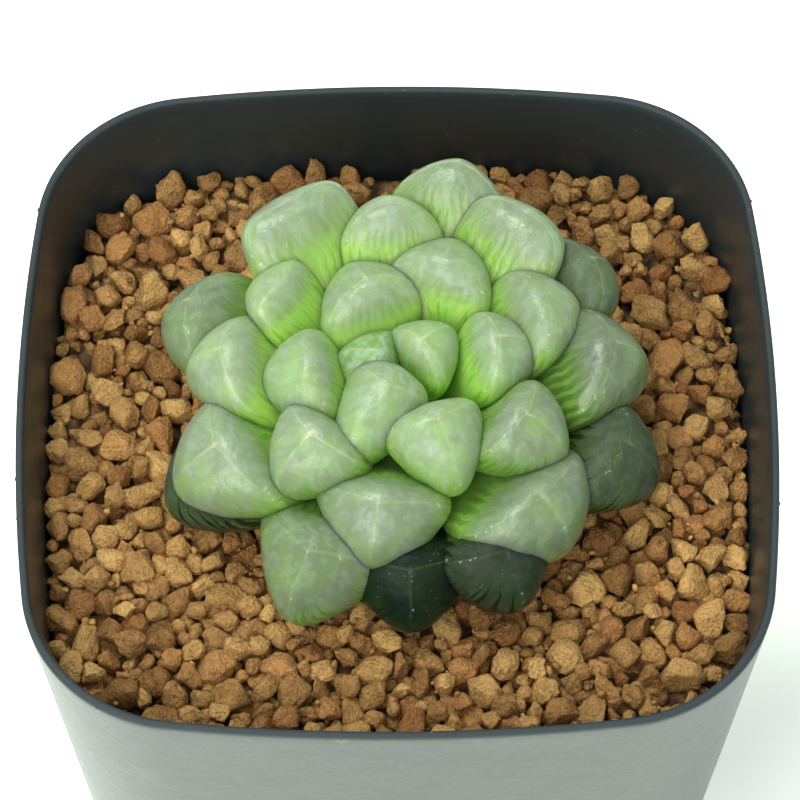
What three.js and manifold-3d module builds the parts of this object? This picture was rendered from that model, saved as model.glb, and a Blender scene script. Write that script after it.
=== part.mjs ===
// Potted haworthia: a rosette of fat windowed leaves on a short stem, rooted in granular soil
// in a thin square nursery pot. Millimetres, +Z up, origin at the middle of the pot's underside.
import * as THREE from 'three';
import { mergeVertices } from 'three/addons/utils/BufferGeometryUtils.js';
import Module from 'manifold-3d';

const wasm = await Module();
wasm.setup();

// ---- Driving dimensions -------------------------------------------------------------------

const CLEARANCE = 0.3; // gap kept between pieces that touch

// Pot: a rounded square whose sides bow outwards, thin walled, tapering to the bottom.
const POT_HEIGHT = 65;
const RIM_HALF = 37.5; // from the middle to the middle of a side, at the rim
const FOOT_HALF = 31.8; // the same at the bottom
const SIDE_BOW = 3.7; // how far a side swells over its chord
const CORNER_RADIUS = 16;
const WALL = 1.0;
const ARC_STEPS = 3; // facets in half of each arc of the outline
const FLOOR_THICKNESS = 1.3;
const FLOOR_RISE = 2.0; // the floor stands this far above the foot ring
const FOOT_WIDTH = 2.4;
const BOSS_RADIUS = 9; // flat disc in the middle of the underside
const DRAIN_RADIUS = 2.5;
const DRAIN_CIRCLE = 19;
const DRAIN_COUNT = 8;
const DISC_SIDES = 16;
const PAST = 1; // how far a cutting form runs past the face that it cuts

// Soil: coarse angular grains packed side by side over a deep bed.
const GRAIN_SPACING = 4.6;
const GRAIN_JITTER = 0.55; // how far the corners between grains stray
const GROOVE_Z = 52.7; // bottom of the grooves between grains
const GRAIN_HEIGHT = 2.3; // a grain's rise over the grooves
const GRAIN_HEIGHT_SPREAD = 0.7;
const GRAIN_TILT = 0.5; // uneven rise of the facet corners on one grain
const GRAIN_FACET = 0.66; // size of a grain's upper facets over its cell
const GRAIN_ROWS = 10; // rows on each side of the middle, enough to reach past the pot
const SHADED_RADIUS = 15; // under the rosette the bed is left low
const SHADED_RISE = 0.5;
const GRAIN_SEED = 7;
const CORNER_SNAP = 20; // steps to the millimetre, by which neighbouring grains find one corner

// Stem and its fleshy roots.
const ROSETTE_X = 0.8; // the plant stands a little off the pot's middle
const ROSETTE_Y = 0.8;
const STEM_RADIUS = 4.6;
const STEM_TOP = 63.2;
const STEM_SHOULDER = 61.0;
const STEM_FOOT = 44;
const STEM_FOOT_HEIGHT = 5; // the foot narrows over this height, the top over the next one
const STEM_TOP_HEIGHT = 0.6;
const FOOT_NARROWING = 0.55; // the stem's radius at its foot and at its top, over its radius between
const TOP_NARROWING = 0.7;
const STEM_SIDES = 14;
const ROOT_COUNT = 6;
const ROOT_RADIUS = 2.1;
const ROOT_TIP_RADIUS = 0.9;
const ROOT_SIDES = 6;
const ROOT_RINGS = 5;
const ROOT_TURN = 0.3; // turns the star of roots, in steps from one root to the next
const ROOT_STAGGER = 2; // every other root runs this much deeper
const ROOT_PATH = [[0.5, 49], [7, 46.5], [15, 38], [20, 27], [20.5, 15]]; // distance and height

// Leaves: each bends up from the stem to a crown, a blunt dome of rounded-triangle section.
const SECTION_POINTS = 12;
const NECK_RADIUS = 1.6; // half the width of a leaf where it leaves the stem
const STALK_RINGS = 4;
const DOME_RINGS = 2;
const DOME_SHARE = 0.46; // dome length over leaf width
const DOME_LEAN_IN = 0.35; // how far the dome's top leans to the upper face, over half thickness
const TRIANGLE = 0.145; // how triangular the section is
const CORNERS = 0.03; // how sharp its corners are
const TIP_ROUNDING = 0.5; // share of the triangle that is gone at the tip
const STALK_START_POWER = 1.6; // how late a leaf starts to widen from its neck
const STALK_END_POWER = 2.5; // and how soon it is at its full width
const DOME_THICKNESS_POWER = 2.3; // how squarely the crown ends, seen from its edge
const UPSWEEP = 0.55; // share of the leaf's length that runs straight into the crown
const TIP_LEAF_COUNT = 3; // the youngest leaves stand on top of the stem, the others round it
const TIP_LEAF_START = 0.8; // distance of the first of them from the axis
const TIP_LEAF_STEP = 0.7; // and how much further out, and lower, the next ones stand
const TIP_LEAF_DROP = 0.2;
const OLDEST_BASE = 56.2;
const YOUNGEST_BASE = 62.2;
const BASE_DEPTH = 0.8; // how far a leaf's root end reaches into the stem before it is cut

// From the growing tip outwards, each leaf about 137 degrees on from the one before:
// azimuth (degrees from +X), reach from the stem's axis, height of the crown, lean of the
// crown from upright (degrees), width, thickness and bluntness: the power of its dome's outline
// seen from its flat side, 2 for a round one, less for a pointed one and more for a square one.
const LEAVES = [
  [165, 4.2, 71.0, 10, 7.8, 6.3, 2.0],
  [42, 3.4, 72.0, 6, 7.6, 6.1, 2.0],
  [238, 6.2, 71.8, 8, 7.8, 11.4, 2.2],
  [115, 10.4, 72.3, 18, 10.6, 8.5, 2.0],
  [10, 10.6, 72.0, 16, 9.0, 7.2, 2.2],
  [185, 11.4, 72.0, 18, 9.6, 7.7, 2.4],
  [69, 13.0, 72.5, 22, 10.4, 8.3, 2.1],
  [292, 10.0, 72.2, 12, 9.4, 9.0, 2.2],
  [148, 16.2, 72.0, 26, 7.8, 6.2, 4.0],
  [24, 16.4, 72.2, 24, 10.2, 8.2, 2.4],
  [224, 14.2, 71.2, 17, 9.4, 8.6, 2.6],
  [95, 17.6, 73.0, 32, 9.8, 7.8, 2.0],
  [330, 15.0, 71.4, 18, 9.8, 8.4, 2.3],
  [177, 19.4, 70.8, 30, 10.6, 8.5, 2.1],
  [52, 20.8, 72.4, 38, 11.0, 8.8, 3.4],
  [260, 17.0, 68.6, 22, 12.6, 9.4, 1.8],
  [124, 22.0, 72.0, 42, 12.2, 9.8, 4.5],
  [5, 22.2, 69.8, 36, 12.2, 9.8, 1.8],
  [205, 22.0, 68.4, 26, 12.8, 10.4, 2.2],
  [76, 23.8, 71.6, 46, 11.6, 9.3, 1.65],
  [313, 20.8, 67.8, 22, 14.4, 9.2, 2.6],
  [159, 24.2, 67.8, 42, 12.0, 9.6, 2.0],
  [33, 23.4, 69.0, 42, 11.0, 8.8, 2.3],
  [243, 22.6, 65.0, 28, 13.0, 11.0, 1.55],
  [113, 21.0, 66.0, 46, 12.0, 9.6, 2.0],
  [341, 24.4, 66.2, 36, 12.2, 9.8, 1.9],
  [297, 22.4, 65.0, 30, 11.6, 9.3, 2.2],
  [204, 24.0, 64.6, 38, 11.6, 9.3, 2.0],
  [271, 21.4, 63.4, 34, 12.4, 9.9, 2.0],
].map(([azimuth, reach, crown, lean, width, thickness, bluntness], age) => (
  { azimuth, reach, crown, lean, width, thickness, bluntness, age }
));

// ---- Materials ----------------------------------------------------------------------------

const blackPlastic = new THREE.MeshStandardMaterial({ color: 0x24282a, roughness: 0.35, metalness: 0 });
const bakedSoil = new THREE.MeshStandardMaterial({ color: 0xa5673a, roughness: 0.95, metalness: 0 });
const stemFlesh = new THREE.MeshStandardMaterial({ color: 0xb9c48a, roughness: 0.6, metalness: 0 });
const youngLeaf = new THREE.Color(0x9cc275);
const oldLeaf = new THREE.Color(0x5f8a66);

function leafFlesh(age) {
  const color = youngLeaf.clone().lerp(oldLeaf, age / (LEAVES.length - 1));
  return new THREE.MeshStandardMaterial({ color, roughness: 0.3, metalness: 0 });
}

// ---- Solids -------------------------------------------------------------------------------

// A closed geometry's shared vertices are merged, so that it can be joined and cut.
function solidOf(geometry) {
  geometry.deleteAttribute('normal');
  geometry.deleteAttribute('uv');
  const merged = mergeVertices(geometry, 1e-4);
  return new wasm.Manifold(new wasm.Mesh({
    numProp: 3,
    vertProperties: new Float32Array(merged.attributes.position.array),
    triVerts: new Uint32Array(merged.index.array),
  }));
}

function geometryOf(solid) {
  const mesh = solid.getMesh();
  const geometry = new THREE.BufferGeometry();
  geometry.setAttribute('position', new THREE.BufferAttribute(new Float32Array(mesh.vertProperties), 3));
  geometry.setIndex(new THREE.BufferAttribute(new Uint32Array(mesh.triVerts), 1));
  return geometry;
}

function largestPiece(solid) {
  return solid.decompose().reduce((best, piece) => (piece.volume() > best.volume() ? piece : best));
}

function mix(from, to, share) {
  return from + (to - from) * share;
}

// A skin over rings of equal point count, closed by a point at each end.
function skinned(startPoint, rings, endPoint) {
  const count = rings[0].length;
  const points = [startPoint, ...rings.flat(), endPoint];
  const last = points.length - 1;
  const index = [];
  for (let side = 0; side < count; side += 1) {
    const next = (side + 1) % count;
    index.push(0, 1 + next, 1 + side);
    for (let ring = 0; ring < rings.length - 1; ring += 1) {
      const low = 1 + ring * count;
      const high = low + count;
      index.push(low + side, low + next, high + next);
      index.push(low + side, high + next, high + side);
    }
    index.push(last, last - count + side, last - count + next);
  }
  const geometry = new THREE.BufferGeometry().setFromPoints(points);
  geometry.setIndex(index);
  return geometry;
}

// Numbers between 0 and 1 that repeat on every run.
function seededRandom(seed) {
  let state = seed;
  return () => {
    state = (state + 0x6d2b79f5) | 0;
    let mixed = Math.imul(state ^ (state >>> 15), 1 | state);
    mixed = (mixed + Math.imul(mixed ^ (mixed >>> 7), 61 | mixed)) ^ mixed;
    return ((mixed ^ (mixed >>> 14)) >>> 0) / 4294967296;
  };
}

// ---- Pot ----------------------------------------------------------------------------------

// The rim's outline: four long arcs joined by four corner arcs.
function potOutline() {
  const sideRadius = (RIM_HALF ** 2 + SIDE_BOW ** 2) / (2 * SIDE_BOW);
  const sideCentre = RIM_HALF - sideRadius;
  const reach = sideRadius - CORNER_RADIUS;
  const cornerCentre = (sideCentre + Math.sqrt(2 * reach ** 2 - sideCentre ** 2)) / 2;
  const halfSweep = Math.atan2(cornerCentre, cornerCentre - sideCentre);
  const shape = new THREE.Shape();
  for (let quarter = 0; quarter < 4; quarter += 1) {
    const facing = quarter * Math.PI / 2;
    const sideX = sideCentre * Math.cos(facing);
    const sideY = sideCentre * Math.sin(facing);
    shape.absarc(sideX, sideY, sideRadius, facing - halfSweep, facing + halfSweep, false);
    const diagonal = facing + Math.PI / 4;
    const cornerX = cornerCentre * Math.SQRT2 * Math.cos(diagonal);
    const cornerY = cornerCentre * Math.SQRT2 * Math.sin(diagonal);
    const cornerEnd = facing + Math.PI / 2 - halfSweep;
    shape.absarc(cornerX, cornerY, CORNER_RADIUS, facing + halfSweep, cornerEnd, false);
  }
  return shape;
}

const OUTLINE = potOutline();
const FLOOR_TOP = FLOOR_RISE + FLOOR_THICKNESS;

function outerHalf(z) {
  return mix(FOOT_HALF, RIM_HALF, z / POT_HEIGHT);
}

// A slice of the pot's tapered form, drawn in from its outer face by inset.
function potForm(bottom, top, inset) {
  const settings = { depth: top - bottom, bevelEnabled: false, curveSegments: ARC_STEPS };
  const geometry = new THREE.ExtrudeGeometry(OUTLINE, settings);
  const position = geometry.attributes.position;
  for (let i = 0; i < position.count; i += 1) {
    const z = bottom + position.getZ(i);
    const scale = (outerHalf(z) - inset) / RIM_HALF;
    position.setXYZ(i, position.getX(i) * scale, position.getY(i) * scale, z);
  }
  return solidOf(geometry);
}

function disc(radius, bottom, top, x, y) {
  const geometry = new THREE.CylinderGeometry(radius, radius, top - bottom, DISC_SIDES);
  geometry.rotateX(Math.PI / 2);
  geometry.translate(x, y, (bottom + top) / 2);
  return solidOf(geometry);
}

function pot() {
  let body = potForm(0, POT_HEIGHT, 0);
  body = body.subtract(potForm(FLOOR_TOP, POT_HEIGHT + PAST, WALL));
  body = body.subtract(potForm(-PAST, FLOOR_RISE, FOOT_WIDTH));
  body = body.add(disc(BOSS_RADIUS, 0, FLOOR_TOP, 0, 0));
  for (let hole = 0; hole < DRAIN_COUNT; hole += 1) {
    const angle = (hole + 0.5) * 2 * Math.PI / DRAIN_COUNT;
    const x = DRAIN_CIRCLE * Math.cos(angle);
    const y = DRAIN_CIRCLE * Math.sin(angle);
    body = body.subtract(disc(DRAIN_RADIUS, -PAST, FLOOR_TOP + PAST, x, y));
  }
  return body;
}

// ---- Stem and roots -----------------------------------------------------------------------

function ringAt(centre, along, radius, sides) {
  const across = new THREE.Vector3(0, 0, 1).cross(along).normalize();
  const other = along.clone().cross(across);
  const points = [];
  for (let side = 0; side < sides; side += 1) {
    const angle = side * 2 * Math.PI / sides;
    const point = centre.clone().addScaledVector(across, radius * Math.cos(angle));
    points.push(point.addScaledVector(other, radius * Math.sin(angle)));
  }
  return points;
}

function root(number, grow) {
  const angle = (number + ROOT_TURN) * 2 * Math.PI / ROOT_COUNT;
  const out = new THREE.Vector3(Math.cos(angle), Math.sin(angle), 0);
  const down = ROOT_STAGGER * (number % 2);
  const path = new THREE.CatmullRomCurve3(ROOT_PATH.map(([distance, z], point) => (
    out.clone().multiplyScalar(distance).setZ(point > 0 ? z - down : z)
  )));
  const rings = [];
  for (let ring = 0; ring < ROOT_RINGS; ring += 1) {
    const share = ring / (ROOT_RINGS - 1);
    const radius = mix(ROOT_RADIUS, ROOT_TIP_RADIUS, share) + grow;
    rings.push(ringAt(path.getPointAt(share), path.getTangentAt(share), radius, ROOT_SIDES));
  }
  const start = path.getPointAt(0);
  const tip = path.getPointAt(1).addScaledVector(path.getTangentAt(1), ROOT_TIP_RADIUS + grow);
  return solidOf(skinned(start, rings, tip));
}

function stem(grow) {
  const radius = STEM_RADIUS + grow;
  const profile = [
    new THREE.Vector2(0, STEM_FOOT - grow),
    new THREE.Vector2(radius * FOOT_NARROWING, STEM_FOOT + STEM_FOOT_HEIGHT / 5 - grow),
    new THREE.Vector2(radius, STEM_FOOT + STEM_FOOT_HEIGHT),
    new THREE.Vector2(radius, STEM_SHOULDER),
    new THREE.Vector2(radius * TOP_NARROWING, STEM_TOP - STEM_TOP_HEIGHT + grow),
    new THREE.Vector2(0, STEM_TOP + grow),
  ];
  const geometry = new THREE.LatheGeometry(profile, STEM_SIDES);
  geometry.rotateX(Math.PI / 2);
  let body = solidOf(geometry);
  for (let number = 0; number < ROOT_COUNT; number += 1) {
    body = body.add(root(number, grow));
  }
  return body.translate([ROSETTE_X, ROSETTE_Y, 0]);
}

// ---- Leaves -------------------------------------------------------------------------------

// Where a leaf leaves the stem: distance from the axis and height.
function leafBase(age) {
  if (age < TIP_LEAF_COUNT) {
    return new THREE.Vector2(TIP_LEAF_START + TIP_LEAF_STEP * age, YOUNGEST_BASE - TIP_LEAF_DROP * age);
  }
  const share = (age - TIP_LEAF_COUNT) / (LEAVES.length - 1 - TIP_LEAF_COUNT);
  return new THREE.Vector2(STEM_RADIUS - BASE_DEPTH, mix(YOUNGEST_BASE, OLDEST_BASE, share));
}

// The rounded triangle: two corners are the leaf's margins and the third its keel.
function section(rounding) {
  return Array.from({ length: SECTION_POINTS }, (_, number) => {
    const angle = Math.PI / 6 + number * 2 * Math.PI / SECTION_POINTS;
    const corners = TRIANGLE * Math.sin(3 * angle) + CORNERS * Math.cos(6 * angle - Math.PI);
    const radius = 1 + corners * (1 - rounding);
    return new THREE.Vector2(radius * Math.cos(angle), radius * Math.sin(angle));
  });
}

const SECTION_HALF_WIDTH = section(0)[0].x;

function dome(share, power) {
  return Math.max(0, 1 - share ** power) ** (1 / power);
}

function leaf({ azimuth, reach, crown, lean, width, thickness, bluntness, age }, grow) {
  const heading = THREE.MathUtils.degToRad(azimuth);
  const tilt = THREE.MathUtils.degToRad(lean);
  const base = leafBase(age);
  const tip = new THREE.Vector2(reach, crown);
  const upright = new THREE.Vector2(Math.sin(tilt), Math.cos(tilt));
  const bend = tip.clone().addScaledVector(upright, -UPSWEEP * tip.distanceTo(base));
  const spine = new THREE.QuadraticBezierCurve(base, bend, tip);
  const domeLength = DOME_SHARE * width;
  const domeStart = 1 - domeLength / spine.getLength();
  const halfWidth = width / 2 / SECTION_HALF_WIDTH + grow;
  const halfThickness = thickness / 2 + grow;
  const neck = NECK_RADIUS / halfWidth;

  const outwards = new THREE.Vector3(Math.cos(heading), Math.sin(heading), 0);
  const sideways = new THREE.Vector3(-Math.sin(heading), Math.cos(heading), 0);
  const place = (distance, z) => outwards.clone().multiplyScalar(distance).setZ(z);

  const ringOf = (share, widthScale, thicknessScale, shift, rounding) => {
    const centre = spine.getPointAt(share);
    const along = spine.getTangentAt(share);
    const upper = place(-along.y, along.x);
    const middle = place(centre.x, centre.y).addScaledVector(upper, shift);
    return section(rounding).map(({ x, y }) => middle.clone()
      .addScaledVector(sideways, x * halfWidth * widthScale)
      .addScaledVector(upper, y * halfThickness * thicknessScale));
  };

  const rings = [];
  for (let ring = 0; ring < STALK_RINGS; ring += 1) {
    const along = ring / (STALK_RINGS - 1);
    const scale = mix(neck, 1, 1 - (1 - along ** STALK_START_POWER) ** STALK_END_POWER);
    rings.push(ringOf(along * domeStart, scale, scale, 0, 0));
  }
  for (let ring = 1; ring <= DOME_RINGS; ring += 1) {
    const along = Math.sin(ring / (DOME_RINGS + 1) * Math.PI / 2);
    const flat = dome(along, DOME_THICKNESS_POWER);
    const shift = halfThickness * DOME_LEAN_IN * (1 - flat);
    const rounding = TIP_ROUNDING * along;
    rings.push(ringOf(mix(domeStart, 1, along), dome(along, bluntness), flat, shift, rounding));
  }
  const top = spine.getTangentAt(1);
  const end = place(tip.x, tip.y)
    .addScaledVector(place(-top.y, top.x), halfThickness * DOME_LEAN_IN)
    .addScaledVector(place(top.x, top.y), grow);
  return solidOf(skinned(place(base.x, base.y), rings, end)).translate([ROSETTE_X, ROSETTE_Y, 0]);
}

// Each leaf is pressed hollow where a younger one lies against it.
function leaves(seat, swollen) {
  return LEAVES.map((entry, age) => {
    let body = leaf(entry, 0).subtract(seat);
    for (let younger = 0; younger < age; younger += 1) {
      body = body.subtract(swollen[younger]);
    }
    return largestPiece(body);
  });
}

// ---- Soil ---------------------------------------------------------------------------------

// Every grain fills a six-sided cell, whose corners it shares with its neighbours.
function grainCells(random) {
  const cornerDistance = GRAIN_SPACING / Math.sqrt(3);
  const corners = new Map();
  const cornerAt = (x, y) => {
    const key = `${Math.round(x * CORNER_SNAP)} ${Math.round(y * CORNER_SNAP)}`;
    if (!corners.has(key)) {
      const stray = () => GRAIN_JITTER * (2 * random() - 1);
      corners.set(key, new THREE.Vector3(x + stray(), y + stray(), GROOVE_Z));
    }
    return corners.get(key);
  };
  const cells = [];
  for (let row = -GRAIN_ROWS; row <= GRAIN_ROWS; row += 1) {
    for (let column = -GRAIN_ROWS; column <= GRAIN_ROWS; column += 1) {
      const x = (column + Math.abs(row % 2) / 2) * GRAIN_SPACING;
      const y = row * GRAIN_SPACING * Math.sqrt(3) / 2;
      cells.push(Array.from({ length: 6 }, (_, corner) => {
        const angle = Math.PI / 6 + corner * Math.PI / 3;
        return cornerAt(x + cornerDistance * Math.cos(angle), y + cornerDistance * Math.sin(angle));
      }));
    }
  }
  return cells;
}

// One grain's upper side: sloping flanks round a ring of facets that meet in a low peak.
function grainTop(cell, random) {
  const middle = cell.reduce((sum, corner) => sum.add(corner), new THREE.Vector3()).divideScalar(6);
  const shaded = Math.hypot(middle.x - ROSETTE_X, middle.y - ROSETTE_Y) < SHADED_RADIUS;
  const height = shaded ? SHADED_RISE : GRAIN_HEIGHT + GRAIN_HEIGHT_SPREAD * (2 * random() - 1);
  const peak = middle.clone().setZ(GROOVE_Z + height);
  if (shaded) {
    return cell.flatMap((corner, side) => [corner, cell[(side + 1) % 6], peak]);
  }
  const facets = cell.map((corner) => {
    const drop = GRAIN_TILT * random();
    return middle.clone().lerp(corner, GRAIN_FACET).setZ(GROOVE_Z + height - drop);
  });
  return cell.flatMap((corner, side) => {
    const next = (side + 1) % 6;
    return [
      corner, cell[next], facets[next],
      corner, facets[next], facets[side],
      facets[side], facets[next], peak,
    ];
  });
}

// The skirt below the outermost cells makes the layer of grains a closed body.
function grainSkirt(cells, depth) {
  const edges = new Map();
  const name = ({ x, y }) => `${x} ${y}`;
  cells.forEach((cell) => cell.forEach((corner, side) => {
    const next = cell[(side + 1) % 6];
    edges.set(`${name(corner)} ${name(next)}`, [corner, next]);
  }));
  const heart = new THREE.Vector3(0, 0, depth);
  return [...edges.values()].flatMap(([from, to]) => {
    if (edges.has(`${name(to)} ${name(from)}`)) {
      return [];
    }
    const fromBelow = from.clone().setZ(depth);
    const toBelow = to.clone().setZ(depth);
    return [from, fromBelow, toBelow, from, toBelow, to, fromBelow, heart, toBelow];
  });
}

function soil(plant) {
  const random = seededRandom(GRAIN_SEED);
  const bottom = FLOOR_TOP + CLEARANCE;
  const cells = grainCells(random);
  const tops = cells.flatMap((cell) => grainTop(cell, random));
  const skin = [...tops, ...grainSkirt(cells, bottom - PAST)];
  const heaped = solidOf(new THREE.BufferGeometry().setFromPoints(skin));
  const inPot = heaped.intersect(potForm(bottom, POT_HEIGHT, WALL + CLEARANCE));
  return largestPiece(plant.reduce((body, piece) => body.subtract(piece), inPot));
}

// ---- The whole ----------------------------------------------------------------------------

const object = new THREE.Group();

function addPiece(name, solid, material) {
  const mesh = new THREE.Mesh(geometryOf(solid), material);
  mesh.name = name;
  object.add(mesh);
}

const seat = stem(CLEARANCE);
const swollen = LEAVES.map((entry) => leaf(entry, CLEARANCE));

addPiece('pot', pot(), blackPlastic);
addPiece('soil', soil([seat, ...swollen]), bakedSoil);
addPiece('stem_and_roots', stem(0), stemFlesh);
leaves(seat, swollen).forEach((solid, age) => {
  addPiece(`leaf_${String(age + 1).padStart(2, '0')}`, solid, leafFlesh(age));
});

export default object;
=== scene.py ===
import math

import bmesh
import bpy
import numpy as np
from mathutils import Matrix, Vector
from mathutils.bvhtree import BVHTree


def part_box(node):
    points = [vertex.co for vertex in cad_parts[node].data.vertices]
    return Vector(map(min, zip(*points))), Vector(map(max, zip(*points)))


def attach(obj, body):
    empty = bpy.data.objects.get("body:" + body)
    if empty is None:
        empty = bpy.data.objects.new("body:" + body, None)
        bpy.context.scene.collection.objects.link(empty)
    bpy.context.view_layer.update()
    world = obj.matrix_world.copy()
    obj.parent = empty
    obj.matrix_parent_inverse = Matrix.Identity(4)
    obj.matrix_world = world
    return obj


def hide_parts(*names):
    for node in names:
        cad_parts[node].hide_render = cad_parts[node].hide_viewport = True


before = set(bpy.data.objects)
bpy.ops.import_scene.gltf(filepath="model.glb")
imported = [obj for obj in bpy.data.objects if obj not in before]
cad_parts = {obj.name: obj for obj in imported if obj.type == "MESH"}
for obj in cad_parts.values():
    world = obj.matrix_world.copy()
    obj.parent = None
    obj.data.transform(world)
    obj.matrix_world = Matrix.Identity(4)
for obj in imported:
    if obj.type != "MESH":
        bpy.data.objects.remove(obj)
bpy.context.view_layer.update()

MM = 0.001
TINY = 1e-6  # keeps divisions off zero

# ---- Driving dimensions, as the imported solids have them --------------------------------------

POT_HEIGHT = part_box("pot")[1].z / MM
RIM_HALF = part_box("pot")[1].x / MM  # from the middle to the middle of a side, at the rim
FOOT_HALF = 31.8  # the same at the bottom
SIDE_BOW = 3.7  # how far a side swells over its chord
CORNER_RADIUS = 16
WALL = 1.0
FLOOR_THICKNESS = 1.3
FLOOR_RISE = 2.0  # the floor stands this far above the foot ring
FLOOR_TOP = FLOOR_RISE + FLOOR_THICKNESS
FOOT_WIDTH = 2.4
BOSS_RADIUS = 9  # flat disc in the middle of the underside
DRAIN_RADIUS = 2.5
DRAIN_CIRCLE = 19
DRAIN_COUNT = 8

SOIL_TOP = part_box("soil")[1].z / MM

ROSETTE = np.array([0.8, 0.8, 0.0])  # the plant stands a little off the pot's middle
STEM_RADIUS = 4.6

NECK_RADIUS = 1.6  # half the width of a leaf where it leaves the stem
DOME_SHARE = 0.46  # dome length over leaf width
DOME_LEAN_IN = 0.35  # how far the dome's top leans to the upper face, over half thickness
TRIANGLE = 0.145  # how triangular the section is
CORNERS = 0.03  # how sharp its corners are
TIP_ROUNDING = 0.5  # share of the triangle that is gone at the tip
STALK_START_POWER = 1.6  # how late a leaf starts to widen from its neck
STALK_END_POWER = 2.5  # and how soon it is at its full width
DOME_THICKNESS_POWER = 2.3  # how squarely the crown ends, seen from its edge
UPSWEEP = 0.55  # share of the leaf's length that runs straight into the crown
TIP_LEAF_COUNT = 3  # the youngest leaves stand on top of the stem, the others round it
TIP_LEAF_START = 0.8  # distance of the first of them from the axis
TIP_LEAF_STEP = 0.7  # and how much further out, and lower, the next ones stand
TIP_LEAF_DROP = 0.2
OLDEST_BASE = 56.2
YOUNGEST_BASE = 62.2
BASE_DEPTH = 0.8  # how far a leaf's foot reaches into the stem

# From the growing tip outwards: azimuth (degrees from +X), reach from the stem's axis, height of
# the crown, lean of the crown from upright (degrees), width, thickness, bluntness (the power of
# its dome's outline) and darkness, from 0 for pale to 1 for dark, and yellower below 0. The
# darkness is partly the leaf's own deeper colour and partly painted shade: the low outer leaves,
# which lie in the shade of the others, are painted darker for it.
LEAVES = [
    (165, 4.2, 71.0, 10, 7.8, 6.3, 2.0, -0.9),
    (42, 3.4, 72.0, 6, 7.6, 6.1, 2.0, -0.15),
    (238, 6.2, 71.8, 8, 7.8, 11.4, 2.2, -0.2),
    (115, 10.4, 72.3, 18, 10.6, 8.5, 2.0, -0.1),
    (10, 10.6, 72.0, 16, 9.0, 7.2, 2.2, -0.15),
    (185, 11.4, 72.0, 18, 9.6, 7.7, 2.4, -0.1),
    (69, 13.0, 72.5, 22, 10.4, 8.3, 2.1, -0.1),
    (292, 10.0, 72.2, 12, 9.4, 9.0, 2.2, -0.15),
    (148, 16.2, 72.0, 26, 7.8, 6.2, 4.0, 0.0),
    (24, 16.4, 72.2, 24, 10.2, 8.2, 2.4, 0.15),
    (224, 14.2, 71.2, 17, 9.4, 8.6, 2.6, 0.1),
    (95, 17.6, 73.0, 32, 9.8, 7.8, 2.0, 0.0),
    (330, 15.0, 71.4, 18, 9.8, 8.4, 2.3, 0.25),
    (177, 19.4, 70.8, 30, 10.6, 8.5, 2.1, 0.0),
    (52, 20.8, 72.4, 38, 11.0, 8.8, 3.4, 0.15),
    (260, 17.0, 68.6, 22, 12.6, 9.4, 1.8, 0.18),
    (124, 22.0, 72.0, 42, 12.2, 9.8, 4.5, 0.1),
    (5, 22.2, 69.8, 36, 12.2, 9.8, 1.8, 0.5),
    (205, 22.0, 68.4, 26, 12.8, 10.4, 2.2, 0.1),
    (76, 23.8, 71.6, 46, 11.6, 9.3, 1.65, 0.2),
    (313, 20.8, 67.8, 22, 14.4, 9.2, 2.6, 0.35),
    (159, 24.2, 67.8, 42, 12.0, 9.6, 2.0, 0.35),
    (33, 23.4, 69.0, 42, 11.0, 8.8, 2.3, 0.62),
    (243, 22.6, 65.0, 28, 13.0, 11.0, 1.55, 0.35),
    (113, 21.0, 66.0, 46, 12.0, 9.6, 2.0, 0.4),
    (341, 24.4, 66.2, 36, 12.2, 9.8, 1.9, 0.8),
    (297, 22.4, 65.0, 30, 11.6, 9.3, 2.2, 0.92),
    (204, 24.0, 64.6, 38, 11.6, 9.3, 2.0, 0.85),
    (271, 21.4, 63.4, 34, 12.4, 9.9, 2.0, 1.0),
]
YOUNG_LEAVES = 13  # counted from the tip, these wear the record's young_leaf
GROWN_LEAVES = 21  # and those from there up to here wear grown_leaf, the others shaded_leaf

# ---- Finer detail ----------------------------------------------------------------------------

SEED = 11
SMOOTH_ANGLE = math.radians(38)  # sharper edges than this stay crisp
FINE_BALL = 3  # subdivisions of the balls that all small lumps are made from
PLAIN_BALL = 2
ROUGH_BALL = 1

OUTLINE_STEPS = 20  # facets in half of each arc of the pot's outline
WALL_RINGS = 12
FOOT_EDGE = 0.3  # slope on the foot ring's outer edge
STRAIGHT_FROM = 0.8  # the wall is straight from here up
RIM_ZONE = 2  # the wall thins over this height
RIM_WALL = 0.75
RIM_ROUNDING = 0.3
ROUNDING_STEPS = 5
FLOOR_FILLET = 1.2  # hollow round between the wall and the floor
FILLET_MIDDLE = 0.3  # its middle's distance from either of them
DISC_SIDES = 32
BOSS_SIDES = 64
BOSS_SINK = 0.1  # how far the boss's top lies under the floor's
PAST = 1  # how far a cutting form runs past the face that it cuts
NUB_COUNT = 9  # crumbs of plastic left along the rim
NUB_RADII = (0.12, 0.3)
NUB_DROP = 0.45  # their middles lie this far under the rim's top
NUB_SINK = 0.1  # and this far inside its outer face

LEAF_SIDES = 96
STALK_RINGS = 18
DOME_RINGS = 22
SPINE_STEPS = 240
SPINE_STRIDE = 4  # every so many steps of the spine are searched for the nearest one
THINNEST = 0.02  # least width of a section over the full one, where points are placed in it
LEAF_GAP = 0.03  # between neighbouring leaves
KEEL_RIDGE = 0.004  # rise of the keel and margins, over the leaf's half thickness
RIDGE_WIDTH = 0.12  # half the angle that a ridge takes
KEEL_ANGLE = math.radians(270)
MARGIN_ANGLES = (math.radians(30), math.radians(150))

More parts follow.
